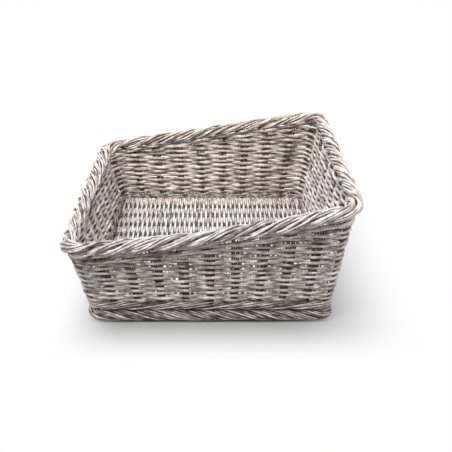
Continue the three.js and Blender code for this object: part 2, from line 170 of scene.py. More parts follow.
def plan_point(plan, u):
    """Point and outward normal of a border's centre line at place u."""
    side, fraction = wall_at(u)
    halves = (plan.half_length, plan.half_width)
    straight = halves[side % 2] - plan.radius
    reach = (fraction - 0.5) * (2 * straight + plan.radius * math.pi / 2)
    turn = max(0.0, abs(reach) - straight) / plan.radius
    sense = math.copysign(1.0, reach)
    along = sense * (min(abs(reach), straight) + plan.radius * math.sin(turn))
    out = halves[1 - side % 2] - plan.radius * (1 - math.cos(turn))
    heading = Matrix.Rotation(side * math.pi / 2, 2)
    point = heading @ Vector((along, -out)) + Vector((plan.shift, 0))
    return point, heading @ Vector((sense * math.sin(turn), -math.cos(turn)))


def rim_height(u):
    """Height of the rim border's centre line."""
    side, fraction = wall_at(u)
    rise = (plan_point(RIM_PLAN, u)[0].x / RIM_PLAN.half_length + 1) / 2
    dip = FRONT_DIP * math.sin(math.pi * fraction) if side == FRONT else 0.0
    return mix(RIM_LOW.z, RIM_HIGH.z - RIM_THICKNESS, rise) + RIM_THICKNESS / 2 - dip


def wall_point(u, z, offset=0.0):
    """Point beside the wall's middle surface, which is ruled from the foot border to the rim border."""
    foot, foot_normal = plan_point(FOOT_PLAN, u)
    rim, rim_normal = plan_point(RIM_PLAN, u)
    share = (z - FOOT_CENTER) / (rim_height(u) - FOOT_CENTER)
    share = min(max(share, 0.0), 1.0)
    normal = foot_normal.lerp(rim_normal, share).normalized()
    point = foot.lerp(rim, share) + normal * offset
    return Vector((point.x, point.y, z))


# Levels of the weave. Its top rows run on behind the strands of the upper wale, as far as the overlap.
ROWS_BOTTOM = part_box("wall_weaver_1")[0].z
WALE_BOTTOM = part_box("lower_wale")[0].z
BASE_BOTTOM, BASE_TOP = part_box("base_weaver_1")[0].z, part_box("base_weaver_1")[1].z
BASE_LEVEL = (BASE_BOTTOM + BASE_TOP) / 2
UPPER_WALE_HEIGHT = 0.012
PACKING_OVERLAP = 0.010


def upper_wale_bottom(u):
    """Height of the upper wale's lower edge."""
    return rim_height(u) - RIM_THICKNESS / 2 - UPPER_WALE_HEIGHT


def wander(place, seed):
    """Smooth drift between about -1 and 1."""
    return noise.noise(Vector((place, seed, 0.5)))


def add_node(tree, kind, inputs=None, **settings):
    """Adds a node, applies its settings, and sets or links its inputs."""
    node = tree.nodes.new(kind)
    for key, value in settings.items():
        setattr(node, key, value)
    for key, value in (inputs or {}).items():
        if isinstance(value, bpy.types.NodeSocket):
            tree.links.new(value, node.inputs[key])
        else:
            node.inputs[key].default_value = value
    return node


ROD_SIDES = 8
GIRTH_WANDER = 0.12
GIRTH_WANDERS_PER_METRE = 25


def rod_sweep():
    """Geometry nodes that sweep a round section along every line of a mesh."""
    tree = bpy.data.node_groups.get("rod_sweep")
    if tree:
        return tree
    tree = bpy.data.node_groups.new("rod_sweep", "GeometryNodeTree")
    tree.interface.new_socket("Geometry", in_out="INPUT", socket_type="NodeSocketGeometry")
    tree.interface.new_socket("Geometry", in_out="OUTPUT", socket_type="NodeSocketGeometry")
    source = add_node(tree, "NodeGroupInput")
    lines = add_node(tree, "GeometryNodeMeshToCurve", {"Mesh": source.outputs[0]})
    ring = add_node(tree, "GeometryNodeCurvePrimitiveCircle", {"Resolution": ROD_SIDES, "Radius": 1.0})
    place = add_node(tree, "GeometryNodeInputPosition")
    section = add_node(
        tree, "GeometryNodeStoreNamedAttribute",
        {"Geometry": ring.outputs["Curve"], "Name": "round", "Value": place.outputs["Position"]},
        data_type="FLOAT_VECTOR",
    )
    girth = add_node(tree, "GeometryNodeInputNamedAttribute", {"Name": "girth"}, data_type="FLOAT")
    rods = add_node(tree, "GeometryNodeCurveToMesh", {
        "Curve": lines.outputs["Curve"],
        "Profile Curve": section.outputs["Geometry"],
        "Scale": girth.outputs["Attribute"],
        "Fill Caps": True,
    })
    smooth = add_node(tree, "GeometryNodeSetShadeSmooth", {"Geometry": rods.outputs["Mesh"]})
    add_node(tree, "NodeGroupOutput", {0: smooth.outputs["Geometry"]})
    return tree


class RodLines:
    """Rods drawn as lines of points, which one sweep turns into round rods."""

    def __init__(self, seed, tone=0.62, spread=0.15):
        self.rng = random.Random(seed)
        self.mean_tone = tone
        self.tone_spread = spread
        self.lines = bmesh.new()
        new_layer = self.lines.verts.layers.float.new
        self.girth = new_layer("girth")
        self.tone = new_layer("tone")
        self.along = new_layer("along")

    def rod_tone(self):
        """Most rods take the wash evenly, and a few stay brown."""
        tone = self.rng.gauss(self.mean_tone, self.tone_spread)
        if self.rng.random() < self.tone_spread:
            tone -= self.rng.uniform(0.15, 0.35)
        return min(max(tone, 0.0), 1.0)

    def add(self, points, radius, closed=False, tone=None):
        """Adds a rod along points, with a radius that is one number or a list."""
        tone = self.rod_tone() if tone is None else tone
        travelled = self.rng.uniform(0, 10)
        seed = self.rng.uniform(0, 1000)
        radii = radius if isinstance(radius, list) else [radius] * len(points)
        row = []
        for point, girth in zip(points, radii):
            vertex = self.lines.verts.new(point)
            if row:
                travelled += (vertex.co - row[-1].co).length
                self.lines.edges.new((row[-1], vertex))
            swell = GIRTH_WANDER * wander(travelled * GIRTH_WANDERS_PER_METRE, seed)
            vertex[self.girth] = girth * (1 + swell)
            vertex[self.tone] = tone
            vertex[self.along] = travelled
            row.append(vertex)
        if closed:
            self.lines.edges.new((row[-1], row[0]))

    def finish(self, node, material):
        """Sweeps the rods into the piece that stands for a node of the frame."""
        mesh = bpy.data.meshes.new(node + "_lines")
        self.lines.to_mesh(mesh)
        self.lines.free()
        piece = bpy.data.objects.new(node + "_rods", mesh)
        bpy.context.scene.collection.objects.link(piece)
        sweep = piece.modifiers.new("Rod sweep", "NODES")
        sweep.node_group = rod_sweep()
        depsgraph = bpy.context.evaluated_depsgraph_get()
        swept = bpy.data.meshes.new_from_object(
            piece.evaluated_get(depsgraph), preserve_all_data_layers=True, depsgraph=depsgraph
        )
        if not swept.polygons:
            raise RuntimeError("no rods were swept for " + node)
        piece.modifiers.clear()
        piece.data = swept
        bpy.data.meshes.remove(mesh)
        swept.name = piece.name
        swept.materials.append(material)
        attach(piece, "root")
        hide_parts(node)
        return piece


# Rattan: round rods with a fine lengthwise grain, under a thin grey wash that has dried unevenly.
# It shows streaks along each rod, patches of thicker wash, and a soft satin shine.
GRAIN_WIDTH = 0.0006
GRAIN_LENGTH = 0.016
PATCH_LENGTH = 0.016
ROD_RADIUS = 0.0018
STREAK_DEPTH = 0.16
PATCH_DEPTH = 0.30
HIGH_END_PALING = 0.08
BACK_TINT = "#fffcf3"
BACK_WALL = FOOT_PLAN.half_width
HIGH_WALL = FOOT_PLAN.half_length
WALL_FADE = 0.03


def washed_rattan(name, stops, roughness):
    """Material for rods, whose colour runs through stops with each rod's tone."""
    material = bpy.data.materials.get(name)
    if material:
        return material
    material = bpy.data.materials.new(name)
    material.use_nodes = True
    tree = material.node_tree
    shader = tree.nodes["Principled BSDF"]
    tone = add_node(tree, "ShaderNodeAttribute", attribute_name="tone")
    along = add_node(tree, "ShaderNodeAttribute", attribute_name="along")
    around = add_node(tree, "ShaderNodeAttribute", attribute_name="round")
    # The real grain is about 0.2 mm wide, and is drawn three times as coarse so that it shows
    place = add_node(tree, "ShaderNodeVectorMath", {
        0: around.outputs["Vector"], 1: (ROD_RADIUS / GRAIN_WIDTH,) * 3,
    }, operation="MULTIPLY")
    reach = add_node(tree, "ShaderNodeMath", {
        0: along.outputs["Fac"], 1: 1 / GRAIN_LENGTH,
    }, operation="MULTIPLY")
    lift = add_node(tree, "ShaderNodeCombineXYZ", {"Z": reach.outputs[0]})
    thread = add_node(tree, "ShaderNodeVectorMath", {
        0: place.outputs[0], 1: lift.outputs[0],
    }, operation="ADD")
    grain = add_node(tree, "ShaderNodeTexNoise", {"Vector": thread.outputs[0], "Scale": 1.0, "Detail": 3.0})
    run = add_node(tree, "ShaderNodeMath", {
        0: along.outputs["Fac"], 1: 1 / PATCH_LENGTH,
    }, operation="MULTIPLY")
    patch = add_node(tree, "ShaderNodeTexNoise", {
        "W": run.outputs[0], "Scale": 1.0, "Detail": 2.0,
    }, noise_dimensions="1D")
    streak = add_node(tree, "ShaderNodeMapRange", {
        "Value": grain.outputs["Fac"], "From Min": 0.3, "From Max": 0.7,
        "To Min": -STREAK_DEPTH, "To Max": STREAK_DEPTH,
    })
    cover = add_node(tree, "ShaderNodeMapRange", {
        "Value": patch.outputs["Fac"], "From Min": 0.3, "From Max": 0.7,
        "To Min": -PATCH_DEPTH, "To Max": PATCH_DEPTH,
    })
    wear = add_node(tree, "ShaderNodeMath", {0: streak.outputs[0], 1: cover.outputs[0]}, operation="ADD")
    worn = add_node(tree, "ShaderNodeMath", {0: tone.outputs["Fac"], 1: wear.outputs[0]}, operation="ADD")
    # The rods are drawn paler towards the high end
    spot = add_node(tree, "ShaderNodeTexCoord")
    axes = add_node(tree, "ShaderNodeSeparateXYZ", {"Vector": spot.outputs["Object"]})
    paler_end = add_node(tree, "ShaderNodeMapRange", {
        "Value": axes.outputs["X"], "From Min": HIGH_WALL - WALL_FADE, "From Max": HIGH_WALL,
        "To Max": HIGH_END_PALING,
    })
    shade = add_node(tree, "ShaderNodeMath", {0: worn.outputs[0], 1: paler_end.outputs[0]}, operation="ADD")
    ramp = add_node(tree, "ShaderNodeValToRGB", {"Fac": shade.outputs[0]})
    for index, shade_colour in enumerate(stops):
        position = index / (len(stops) - 1)
        if index in (0, len(stops) - 1):
            stop = ramp.color_ramp.elements[0 if index == 0 else -1]
            stop.position = position
        else:
            stop = ramp.color_ramp.elements.new(position)
        stop.color = (*shade_colour, 1.0)
    # The rods of the back wall are tinted yellower
    yellow = add_node(tree, "ShaderNodeMapRange", {
        "Value": axes.outputs["Y"], "From Min": BACK_WALL - WALL_FADE, "From Max": BACK_WALL,
    })
    tint = add_node(tree, "ShaderNodeMix", {
        "Factor": yellow.outputs[0], "A": ramp.outputs["Color"], "B": (*linear(BACK_TINT), 1.0),
    }, data_type="RGBA", blend_type="MULTIPLY")
    tree.links.new(tint.outputs["Result"], shader.inputs["Base Color"])
    polish = add_node(tree, "ShaderNodeMapRange", {
        "Value": grain.outputs["Fac"], "To Min": roughness - 0.08, "To Max": roughness + 0.12,
    })
    tree.links.new(polish.outputs[0], shader.inputs["Roughness"])
    bump = add_node(tree, "ShaderNodeBump", {
        "Height": grain.outputs["Fac"], "Strength": 0.3, "Distance": GRAIN_WIDTH / 2,
    })
    tree.links.new(bump.outputs["Normal"], shader.inputs["Normal"])
    shader.inputs["IOR"].default_value = 1.5
    return material


def strand_material():
    """Washed rattan of the strands and borders."""
    colours = bpy.context.scene.basket_colours
    stops = (colours.bare_and_shade, colours.thin_wash, colours.wash, colours.pale_wash)
    return washed_rattan("washed_rattan", stops, 0.42)


def stake_material():
    """Brown rattan of the stakes, drawn darker still as painted shade for the gaps of the weave where they
    show.
    """
    colours = bpy.context.scene.basket_colours
    return washed_rattan("shaded_stake_rattan", (colours.bare_and_shade, colours.stake, colours.thin_wash), 0.55)


# Stakes: flat bundles of rods. The spacings at the base and at the rim are in rod thicknesses.
STAKE_RODS = 5
STAKE_SPACINGS = (0.58, 1.30)
STAKE_SWAY = 0.0005
# Stakes take a dark tone, painted shade in the gaps where they show; the back wall's stakes, seen lit from
# inside, take a pale tone, painted light.
SHADED_STAKE_TONE = 0.42
LIT_BACK_STAKE_TONE = 0.75


def stake_top(u):
    """Height at which a stake meets the rim border."""
    return rim_height(u) - RIM_THICKNESS / 2


def stake_places(sizes, share):
    """Sideways places of a stake's rods, which lie closest under the base and open towards the rim."""
    spacing = sizes.stake_rod * mix(*STAKE_SPACINGS, share)
    return [(index - (STAKE_RODS - 1) / 2) * spacing for index in range(STAKE_RODS)]


class BASKET_OT_upright_stakes(bpy.types.Operator):
    """Make the stakes of the front wall, the back wall and the corners"""

    bl_idname = "basket.upright_stakes"
    bl_label = "Upright stakes"

    def execute(self, context):
        sizes = context.scene.basket_sizes
        places = {f"front_stake_{number}": FRONT_LOW + number for number in range(1, FRONT_STAKES + 1)}
        places.update({f"back_stake_{number}": BACK_LOW - number for number in range(1, BACK_STAKES + 1)})
        corners = ("front_low", "front_high", "back_high", "back_low")
        places.update({f"corner_stake_{name}": u for name, u in zip(corners, CORNERS)})
        steps = 14
        for node, u in places.items():
            rods = RodLines(node, LIT_BACK_STAKE_TONE if node.startswith("back") else SHADED_STAKE_TONE)
            normal = plan_point(RIM_PLAN, u)[1]
            along = Vector((-normal.y, normal.x, 0))
            for rod in range(STAKE_RODS):
                seed = rods.rng.uniform(0, 1000)
                points = []
                for step in range(steps + 1):
                    z = mix(WALE_BOTTOM, stake_top(u), step / steps)
                    side = stake_places(sizes, step / steps)[rod] + STAKE_SWAY * wander(z * 60, seed)
                    points.append(wall_point(u, z) + along * side)
                rods.add(points, sizes.stake_rod / 2)
            rods.finish(node, stake_material())
        return {"FINISHED"}


class BASKET_OT_cross_stakes(bpy.types.Operator):
    """Make the stakes that run up the low end, under the base weave and up the high end"""

    bl_idname = "basket.cross_stakes"
    bl_label = "Cross stakes"

    def execute(self, context):
        sizes = context.scene.basket_sizes
        bend = 0.009
        wall_steps = 10
        base_steps = 26
        bend_steps = 4
        for number in range(1, CROSS_STAKES + 1):
            node = f"cross_stake_{number}"
            rods = RodLines(node, SHADED_STAKE_TONE)
            low, high = STAKES_ROUND - number, FRONT_HIGH + number
            corners = [
                wall_point(low, stake_top(low)), wall_point(low, BASE_LEVEL),
                wall_point(high, BASE_LEVEL), wall_point(high, stake_top(high)),
            ]
            # The stake's line: straight runs up the walls and under the base, with a curve at each bend
            line = []
            runs = (wall_steps, base_steps, wall_steps)
            ends = [corners[0]]
            for index in (1, 2):
                before = corners[index] + (corners[index - 1] - corners[index]).normalized() * bend
                after = corners[index] + (corners[index + 1] - corners[index]).normalized() * bend
                ends.extend((before, after))
            ends.append(corners[3])
            for run, steps in enumerate(runs):
                start, end = ends[2 * run], ends[2 * run + 1]
                line.extend(start.lerp(end, step / steps) for step in range(steps + 1))
                if run < 2:
                    after = ends[2 * run + 2]
                    for step in range(1, bend_steps):
                        share = step / bend_steps
                        first = end.lerp(corners[run + 1], share)
                        line.append(first.lerp(corners[run + 1].lerp(after, share), share))
            for rod in range(STAKE_RODS):
                seed = rods.rng.uniform(0, 1000)
                points = []
                for index, point in enumerate(line):
                    share = max(0.0, point.z - BASE_LEVEL) / (stake_top(high) - BASE_LEVEL)
                    side = stake_places(sizes, share)[rod] + STAKE_SWAY * wander(index * 0.5, seed)
                    points.append(point + Vector((0, side, 0)))
                rods.add(points, sizes.stake_rod / 2)
            rods.finish(node, stake_material())
        return {"FINISHED"}


# Weave: its strands swell where they pass a stake, are thicker on the back wall, and wander a little
STEPS_PER_STAKE = 8
WEAVE_START = BACK_LOW + 1
STRAND_SWELL = 0.18
BACK_STRAND_GIRTH = 1.22
CROSSING_WANDER = 0.20
OFFSET_WANDER = 0.0007
SLOW_DRIFT = 0.0010
QUICK_DRIFT = 0.0019
FRONT_LEAN = -0.0003
BACK_LEAN = 0.0009
SHORTEST_STRAND, LONGEST_STRAND = 8, 26
LEAST_REST = 6


def row_pitch(sizes, u):
    """Height of a row: rows are closest on the front and the low end, and open towards the back."""
    side, fraction = wall_at(u)
    if side == HIGH_END:
        return mix(sizes.front_row, sizes.back_row, fraction)
    if side == BACK:
        rows = round((upper_wale_bottom(BACK_LOW) - ROWS_BOTTOM) / sizes.front_row)
        return min(sizes.back_row, (upper_wale_bottom(u) - ROWS_BOTTOM) / rows)
    return sizes.front_row


def weave_level(sizes, travel):
    """Place and height of a strand that has passed travel stakes on its climb round the basket."""
    u = (WEAVE_START + travel) % STAKES_ROUND
    return u, ROWS_BOTTOM + (travel / STAKES_ROUND + 0.5) * row_pitch(sizes, u)


def weave_swing(sizes):
    """How far a strand's middle stands off the wall's middle as it passes a stake."""
    return (sizes.stake_rod + sizes.wall_strand) / 2 - 0.0003


def weave_side(travel):
    """Side of the stakes that a strand passes, from 1 outside to -1 inside."""
    return math.cos(math.pi * (WEAVE_START + travel))


def back_share(u):
    """How far a place on the wall is from the front, 0, to the back, 1."""
    side, fraction = wall_at(u)
    return {FRONT: 0.0, HIGH_END: fraction, BACK: 1.0, LOW_END: 1 - fraction}[side]


def row_lean(u):
    """How far a strand settles where it passes outside a stake. On the front it rises a little instead."""
    return mix(FRONT_LEAN, BACK_LEAN, back_share(u))


def weave_points(sizes, start, end, seed):
    """Points and radii of a strand from one travel to another."""
    steps = max(1, round(abs(end - start) * STEPS_PER_STAKE))
    points, radii = [], []
    for step in range(steps + 1):
        travel = mix(start, end, step / steps)
        u, z = weave_level(sizes, travel)
        side = weave_side(travel + CROSSING_WANDER * wander(travel * 0.7, seed + 21))
        offset = side * weave_swing(sizes) + OFFSET_WANDER * wander(travel * 0.8, seed)
        drift = SLOW_DRIFT * wander(travel * 0.45, seed + 7) + QUICK_DRIFT * wander(travel * 1.8, seed + 13)
        points.append(wall_point(u, z + drift - row_lean(u) * side, offset))
        swell = 1 + STRAND_SWELL * side ** 2
        radii.append(sizes.wall_strand / 2 * swell * mix(1.0, BACK_STRAND_GIRTH, back_share(u)))
    return points, radii


def add_weave(rods, sizes, start, end):
    """Adds the strands of the weave from one travel to another, each with its own tone."""
    while start < end:
        # A strand ends behind a stake, which is at an odd travel
        stop = math.ceil((start + rods.rng.uniform(SHORTEST_STRAND, LONGEST_STRAND)) / 2) * 2 - 1
        if end - stop < LEAST_REST:
            stop = end
        points, radii = weave_points(sizes, start, stop, rods.rng.uniform(0, 1000))
        girth = rods.rng.uniform(0.82, 1.08)
        rods.add(points, [radius * girth for radius in radii])
        start = stop


def row_zero(row):
    """Travel at which a row passes the front low corner."""
    return STAKES_ROUND * (row + 1) - WEAVE_START


def under_wale(sizes, travel):
    """Whether the weave has room under the upper wale."""
    u, z = weave_level(sizes, travel)
    return z + sizes.wall_strand / 2 <= upper_wale_bottom(u) + PACKING_OVERLAP


def full_rows(sizes):
    """Number of rows that go round the whole basket."""
    room = upper_wale_bottom(BACK_LOW) + PACKING_OVERLAP - ROWS_BOTTOM - sizes.wall_strand / 2
    return int(room / sizes.front_row - 0.73)


class BASKET_OT_wall_weavers(bpy.types.Operator):
    """Weave the strands that wind round the whole basket"""

    bl_idname = "basket.wall_weavers"
    bl_label = "Wall weavers"

    def execute(self, context):
        sizes = context.scene.basket_sizes
        start = FRONT_HIGH - WEAVE_START - STAKES_ROUND
        for number in range(1, WALL_WEAVERS + 1):
            node = f"wall_weaver_{number}"
            rods = RodLines(node)
            rows = (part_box(node)[1].z - ROWS_BOTTOM) / sizes.front_row - 0.75
            end = math.ceil(rows * STAKES_ROUND / 2) * 2 - 1
            if number == WALL_WEAVERS:
                end = row_zero(full_rows(sizes)) - 1
            add_weave(rods, sizes, start, end)
            rods.finish(node, strand_material())
            start = end
        return {"FINISHED"}


class BASKET_OT_packing_weaver(bpy.types.Operator):
    """Weave the short rows that fill the walls up to the sloping rim"""

    bl_idname = "basket.packing_weaver"
    bl_label = "Packing weaver"

    def execute(self, context):
        sizes = context.scene.basket_sizes
        rods = RodLines("packing")
        row = full_rows(sizes)
        while True:
            zero = row_zero(row)
            places = [zero + step / STEPS_PER_STAKE for step in range(BACK_LOW * STEPS_PER_STAKE + 1)]
            covered = [travel for travel in places if under_wale(sizes, travel)]
            if len(covered) < STEPS_PER_STAKE:
                break
            add_weave(rods, sizes, covered[0], covered[-1])
            row += 1
        rods.finish("packing_weaver", strand_material())
        return {"FINISHED"}


# Wales: strands passed outside two stakes and inside the next. The upper wale winds up in several turns,
# and the lower wale has a backing of plain rods inside the stakes.
WALE_REPEAT = 3
UPPER_WALE_TURNS = 4.0
UPPER_WALE_PITCH = 0.0031
UPPER_WALE_START = 0.0036
UPPER_WALE_CUT = 26
LOWER_WALE_OUTSIDE = 2.0
LOWER_WALE_STROKES = 3
LOWER_WALE_PAIR = 1.65
BACKING_LEVELS = (0.0018, 0.0054, 0.0090, 0.0126)
BACKING_OFFSET = -0.0036
BACKING_TONE = 0.35


def wale_side(travel, phase=0):
    """Side of a wale's strand, which passes outside two stakes and inside the next."""
    stake = math.floor(travel)
    sides = [-1.0 if (place + phase) % WALE_REPEAT == 0 else 1.0 for place in (stake, stake + 1)]
    return mix(sides[0], sides[1], ease(travel - stake))


class BASKET_OT_upper_wale(bpy.types.Operator):
    """Weave the strands under the rim, parallel to its slope"""

    bl_idname = "basket.upper_wale"
    bl_label = "Upper wale"

    def execute(self, context):
        sizes = context.scene.basket_sizes
        rods = RodLines("upper wale")
        steps = round(UPPER_WALE_TURNS * STAKES_ROUND * STEPS_PER_STAKE)
        swing = weave_swing(sizes) + 0.0008
        seed = rods.rng.uniform(0, 1000)
        points = []
        for step in range(steps + 1):
            travel = UPPER_WALE_TURNS * STAKES_ROUND * step / steps
            u = (WEAVE_START + travel) % STAKES_ROUND
            z = upper_wale_bottom(u) + UPPER_WALE_START + travel / STAKES_ROUND * UPPER_WALE_PITCH
            side = wale_side(travel, int(travel // STAKES_ROUND))
            points.append(wall_point(u, z + 0.0004 * wander(travel * 0.4, seed), side * swing))
        cut = UPPER_WALE_CUT * STEPS_PER_STAKE
        for first in range(0, steps, cut):
            rods.add(points[first:first + cut + 1], sizes.wall_strand / 2)
        rods.finish("upper_wale", strand_material())
        return {"FINISHED"}


class BASKET_OT_lower_wale(bpy.types.Operator):
    """Twist the paired rods of the lower wale round the stakes, with strokes that rise to the right"""

    bl_idname = "basket.lower_wale"
    bl_label = "Lower wale"

    def execute(self, context):
        sizes = context.scene.basket_sizes
        rods = RodLines("lower wale", 0.50, 0.17)
        radius = sizes.wale_rod / 2
        swing = (sizes.stake_rod + sizes.wale_rod) / 2 + 0.0004
        run = WALE_REPEAT * LOWER_WALE_STROKES
        for strand in range(WALE_REPEAT):
            for start in range(strand, strand + STAKES_ROUND, run):
                end = min(start + run, strand + STAKES_ROUND)
                for rod in range(2):
                    seed = rods.rng.uniform(0, 1000)
                    steps = (end - start) * STEPS_PER_STAKE
                    points = []
                    for step in range(steps + 1):
                        u = mix(start, end, step / steps)
                        phase = (u - strand + WALE_REPEAT - 0.5) % WALE_REPEAT
                        if phase <= LOWER_WALE_OUTSIDE:
                            climb = phase / LOWER_WALE_OUTSIDE
                        else:
                            climb = (WALE_REPEAT - phase) / (WALE_REPEAT - LOWER_WALE_OUTSIDE)
                        z = WALE_BOTTOM + radius + climb * sizes.wale_rise
                        z += rod * sizes.wale_rod * LOWER_WALE_PAIR + 0.0004 * wander(u * 0.8, seed)
                        side = wale_side(u, -strand)
                        points.append(wall_point(u % STAKES_ROUND, z, side * swing))
                    rods.add(points, radius)
        for level in BACKING_LEVELS:
            seed = rods.rng.uniform(0, 1000)
            points = []
            for step in range(STAKES_ROUND * STEPS_PER_STAKE):
                u = step / STEPS_PER_STAKE
                z = WALE_BOTTOM + level + 0.0008 * math.sin(u * math.pi * 2 / WALE_REPEAT)
                points.append(wall_point(u, z, BACKING_OFFSET + 0.0006 * wander(u * 0.5, seed)))
            rods.add(points, radius, closed=True, tone=BACKING_TONE)
        rods.finish("lower_wale", strand_material())
        return {"FINISHED"}


class BASKET_OT_base_weavers(bpy.types.Operator):
    """Weave the strands of the base, front to back over and under the cross stakes"""

    bl_idname = "basket.base_weavers"
    bl_label = "Base weavers"

    def execute(self, context):
        sizes = context.scene.basket_sizes
        low_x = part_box("base_weaver_1")[0].x
        high_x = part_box(f"base_weaver_{BASE_WEAVERS}")[1].x
        half_y = max(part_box(f"base_weaver_{number}")[1].y for number in range(1, BASE_WEAVERS + 1))
        corner = FOOT_CORNER - 0.006
        per_weaver = round((high_x - low_x) / (BASE_WEAVERS * sizes.base_pass))
        pitch = (high_x - low_x) / (BASE_WEAVERS * per_weaver)
        swing = (sizes.stake_rod + sizes.base_strand) / 2 + 0.0001
        ends = [wall_point(STAKES_ROUND - 1, BASE_LEVEL), wall_point(FRONT_HIGH + 1, BASE_LEVEL)]
        steps = 44

        def pass_x(index):
            return low_x + (index + 0.5) * pitch

        def reach(index):
            inset = min(pass_x(index) - low_x, high_x - pass_x(index))
            across = max(0.0, corner - inset)
            return half_y - corner + math.sqrt(corner ** 2 - across ** 2) - pitch / 2

        for number in range(1, BASE_WEAVERS + 1):
            node = f"base_weaver_{number}"
            # The base's strands take a paler tone than the walls': painted light, as the base faces the top
            # softbox.
            rods = RodLines(node, 0.80, 0.07)
            first, last = (number - 1) * per_weaver, number * per_weaver - 1
            points = []
            for index in range(first, last + 1):
                x = pass_x(index)
                heading = 1 if index % 2 == 0 else -1
                start = min(reach(index), reach(index - 1)) if index > first else reach(index)
                end = min(reach(index), reach(index + 1)) if index < last else reach(index)
                share = (x - ends[0].x) / (ends[1].x - ends[0].x)
                spacing = 2 * abs(mix(ends[0].y, ends[1].y, share)) / (CROSS_STAKES - 1)
                seed = rods.rng.uniform(0, 1000)
                for step in range(steps + 1):
                    y = mix(-heading * start, heading * end, step / steps)
                    wave = math.cos(math.pi * (y / spacing + index))
                    edge = ease((min(start, end) - abs(y)) / (spacing / 2))
                    sway = 0.0004 * wander(y * 25, seed) * edge
                    points.append(Vector((x + sway, y, BASE_LEVEL + wave * swing * edge)))
                if index < last:
                    for turn in (1, 2):
                        angle = math.pi * turn / 3
                        way = pitch / 2 * (1 - math.cos(angle))
                        out = end + pitch / 2 * math.sin(angle)
                        points.append(Vector((x + way, heading * out, BASE_LEVEL)))
                if rods.rng.random() < 0.6 or index == last:
                    rods.add(points, sizes.base_strand / 2)
                    points = points[-1:]
            rods.finish(node, strand_material())
        return {"FINISHED"}


# Rim rope, a little thinner than the frame's border and shifted outward to its outer edge.
# Its rods leave the wall outside at the entry angle and run over the rope to the same angle inside.
RIM_BUNDLE_RODS = 4
RIM_RADIUS = 0.0087
RIM_SHIFT = 0.0014
RIM_ENTRY = math.radians(-40)
RIM_ARC = (math.pi - 2 * RIM_ENTRY) * RIM_RADIUS
RIM_STAKE_PITCH = 0.036
RIM_SLOPE = math.radians(21.5)
RIM_START_SLOPE = math.radians(11)
RIM_TURN = 0.008
RIM_START = -0.001
RIM_TAIL = 0.001
RIM_STRIDE = 0.004
RIM_TUCK = 0.0045
RIM_CROWN = 0.0024
RIM_LEAD_OFFSET = 0.0040
RIM_LEAD_LENGTH = 0.010
# The rim's core is drawn dark: painted shade in the gaps between the bundles.
RIM_CORE_SHADE_TONE = 0.20


def rim_place(u, reach, radius):
    """Point on the rim border. Below zero, reach runs up the wall, then round the rope and down inside."""
    below = max(-reach, reach - RIM_ARC)
    if below > 0:
        lead = ease(below / RIM_LEAD_LENGTH)
        out = mix(RIM_RADIUS * math.cos(RIM_ENTRY), RIM_LEAD_OFFSET, lead) + radius - RIM_RADIUS
        out = math.copysign(out, RIM_ARC / 2 - reach)
        rise = RIM_RADIUS * math.sin(RIM_ENTRY) - below
    else:
        angle = RIM_ENTRY + reach / RIM_RADIUS
        out, rise = radius * math.cos(angle), radius * math.sin(angle)
    height = rim_height(u)
    point = wall_point(u, height + min(rise, 0.0), out + RIM_SHIFT)
    return Vector((point.x, point.y, height + rise))


def ring_core(rods, plan, height_of, radius, tone):
    """Adds the inner rods that a border is rolled round, as one thick ring."""
    points = []
    for step in range(STAKES_ROUND * 4):
        point = plan_point(plan, step / 4)[0]
        points.append(Vector((point.x, point.y, height_of(step / 4))))
    rods.add(points, radius, closed=True, tone=tone)


class BASKET_OT_rim_border(bpy.types.Operator):
    """Roll the stakes' ends into the rope of the rim, one bundle for each stake"""

    bl_idname = "basket.rim_border"
    bl_label = "Rim border"

    def execute(self, context):
        sizes = context.scene.basket_sizes
        rods = RodLines("rim", 0.61, 0.12)
        for stake in range(STAKES_ROUND):
            for rod in range(RIM_BUNDLE_RODS):
                rank = rod - (RIM_BUNDLE_RODS - 1) / 2
                slope = RIM_SLOPE * rods.rng.uniform(0.93, 1.07)
                seed = rods.rng.uniform(0, 1000)
                # The rod's way on the unrolled border, flatter where it leaves the weave
                way = [Vector((rods.rng.uniform(-0.005, 0.005), RIM_START))]
                while way[-1].y < RIM_ARC + RIM_TAIL:
                    angle = mix(RIM_START_SLOPE, slope, ease((way[-1].y - RIM_START) / RIM_TURN))
                    way.append(way[-1] + Vector((math.cos(angle), math.sin(angle))) * RIM_STRIDE)
                lift = RIM_CROWN * (1 - abs(rank)) + rods.rng.uniform(-0.0005, 0.0005)
                points = []
                for index, place in enumerate(way):
                    share = index / (len(way) - 1)
                    # The rods of a bundle open after the start and draw together again before the end
                    opening = ease(share * 5) * (1 - 0.4 * ease(share * 4 - 3))
                    spread = rank * sizes.rim_rod * mix(0.45, 0.94, opening)
                    reach = place.y + spread + 0.0016 * wander(index * 0.16, seed)
                    tuck = RIM_TUCK * (ease(1 - index / 5) + ease((index - len(way) + 6) / 5))
                    radius = RIM_RADIUS + lift + 0.0008 * wander(index * 0.2, seed + 5) - tuck
                    points.append(rim_place(stake + place.x / RIM_STAKE_PITCH, reach, radius))
                rods.add(points, sizes.rim_rod / 2 * rods.rng.uniform(0.88, 1.10))
        core = Plan(*(size + RIM_SHIFT for size in RIM_PLAN[:3]), RIM_PLAN.shift)
        ring_core(rods, core, rim_height, RIM_RADIUS - sizes.rim_rod - 0.0010, RIM_CORE_SHADE_TONE)
        rods.finish("rim_border", strand_material())
        return {"FINISHED"}


# Foot ring: its bundles run round the section from the start angle to the end angle
FOOT_BUNDLE_RODS = 3
FOOT_START_ANGLE = math.radians(170)
FOOT_END_ANGLE = math.radians(-160)
FOOT_ANGLE_PER_STAKE = math.radians(84)
FOOT_ROD_SPACING = 1.42
FOOT_CROWN = (-0.0010, -0.0002)
FOOT_TUCK = 0.0025
FOOT_TUCK_SHARE = 0.12
# The foot's core is drawn dark: painted shade in the gaps between the bundles.
FOOT_CORE_SHADE_TONE = 0.0


